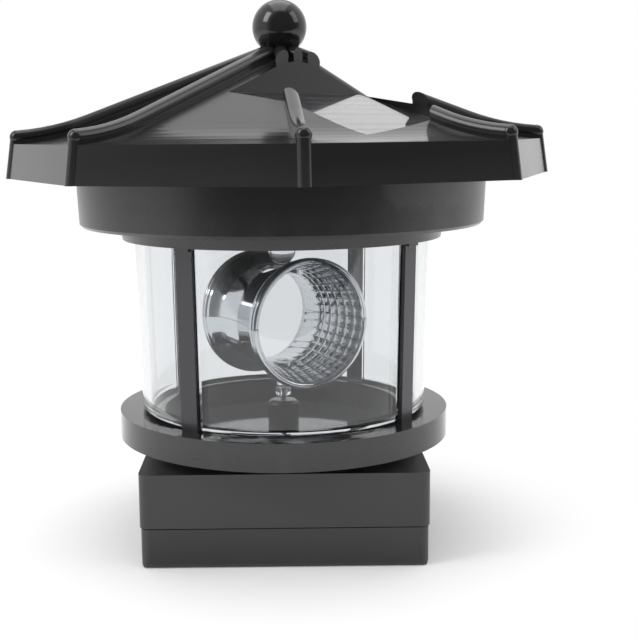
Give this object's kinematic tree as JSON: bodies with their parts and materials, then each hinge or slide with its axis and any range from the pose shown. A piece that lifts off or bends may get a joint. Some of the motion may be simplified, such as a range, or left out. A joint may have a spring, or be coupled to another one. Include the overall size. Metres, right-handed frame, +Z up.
{
  "type": "solar rotating beacon head",
  "caption": "Eight-sided solar roof over a clear round lantern with a turning mirror barrel lit from above, on a flanged square plug-in base for a garden lighthouse",
  "frame": {"origin": "middle of the flat bottom face of the base box", "axes": "+Z up, front -Y, +X to the viewer's right"},
  "size_m": [0.0954, 0.0954, 0.0935],
  "materials": {
    "black_shell": "glossy moulded",
    "black_floor": "polished",
    "post_black": "satin moulded",
    "clear_plastic": "clear polished plastic",
    "mirror_plastic": "vacuum metallised, bright",
    "lamp_clear": "clear epoxy",
    "steel": "plated",
    "gear_plastic": "natural moulded",
    "pinion_brass": "turned",
    "board_green": "solder mask",
    "chip_black": "moulded",
    "wire": "satin insulation",
    "cell_wrap": "shrink sleeve",
    "knob_white": "moulded",
    "panel_backing": "board",
    "solar_silicon": "dark cells",
    "panel_clear": "clear cast resin"
  },
  "bodies": {
    "housing": {"base_cover": "black_shell", "base_shell": "black_shell", "cover_screws": "steel", "neck_screws": "steel", "flange_housing": "black_shell", "floor_plate": "black_floor", "shaft_bush": "black_shell", "gear_pins": "steel", "gear_plate": "gear_plastic", "motor_can": "steel", "motor_leads": "wire", "small_screws": "steel", "battery_cell": "cell_wrap", "battery_contacts": "steel", "control_board": "board_green", "board_parts_base": "chip_black", "switch_body": "steel", "clear_cylinder": "clear_plastic", "post_front_left": "post_black", "post_front_right": "post_black", "post_rear_right": "post_black", "post_rear_left": "post_black", "post_leads": "wire", "lantern_ring": "black_shell", "beacon_led": "lamp_clear", "led_frame": "steel", "led_board": "board_green", "board_parts_head": "chip_black", "panel_leads": "wire", "collar_drum": "black_shell", "roof_screws": "steel", "roof_shell": "black_shell", "finial_ball": "black_shell", "panel_board": "panel_backing", "solar_cells": "solar_silicon", "panel_resin": "panel_clear"},
    "rotor": {"output_shaft": "steel", "reflector": "mirror_plastic", "output_gear": "gear_plastic"},
    "second": {"second_gear": "gear_plastic"},
    "first": {"first_gear": "gear_plastic"},
    "motor": {"motor_pinion": "pinion_brass"},
    "switch": {"switch_knob": "knob_white"}
  },
  "joints": [
    {"name": "rotor_turn", "type": "hinge", "parent": "housing", "child": "rotor", "pos_m": [0, 0, 0.038], "axis": [0, 0, 1], "continuous": true},
    {"name": "second_turn", "type": "hinge", "parent": "housing", "child": "second", "pos_m": [0.0046, 0.00797, 0.0135], "axis": [0, 0, 1], "continuous": true},
    {"name": "first_turn", "type": "hinge", "parent": "housing", "child": "first", "pos_m": [0.01325, 0.00482, 0.0125], "axis": [0, 0, 1], "continuous": true},
    {"name": "motor_turn", "type": "hinge", "parent": "housing", "child": "motor", "pos_m": [0.01165, -0.00424, 0.012], "axis": [0, 0, 1], "continuous": true},
    {"name": "switch_slide", "type": "slide", "parent": "housing", "child": "switch", "axis": [1, 0, 0], "range_m": [0, 0.002]}
  ],
  "couplings": [
    {"joint": "second_turn", "follows": "rotor_turn", "ratio": -3.6},
    {"joint": "first_turn", "follows": "rotor_turn", "ratio": 12.96},
    {"joint": "motor_turn", "follows": "rotor_turn", "ratio": -46.656}
  ]
}
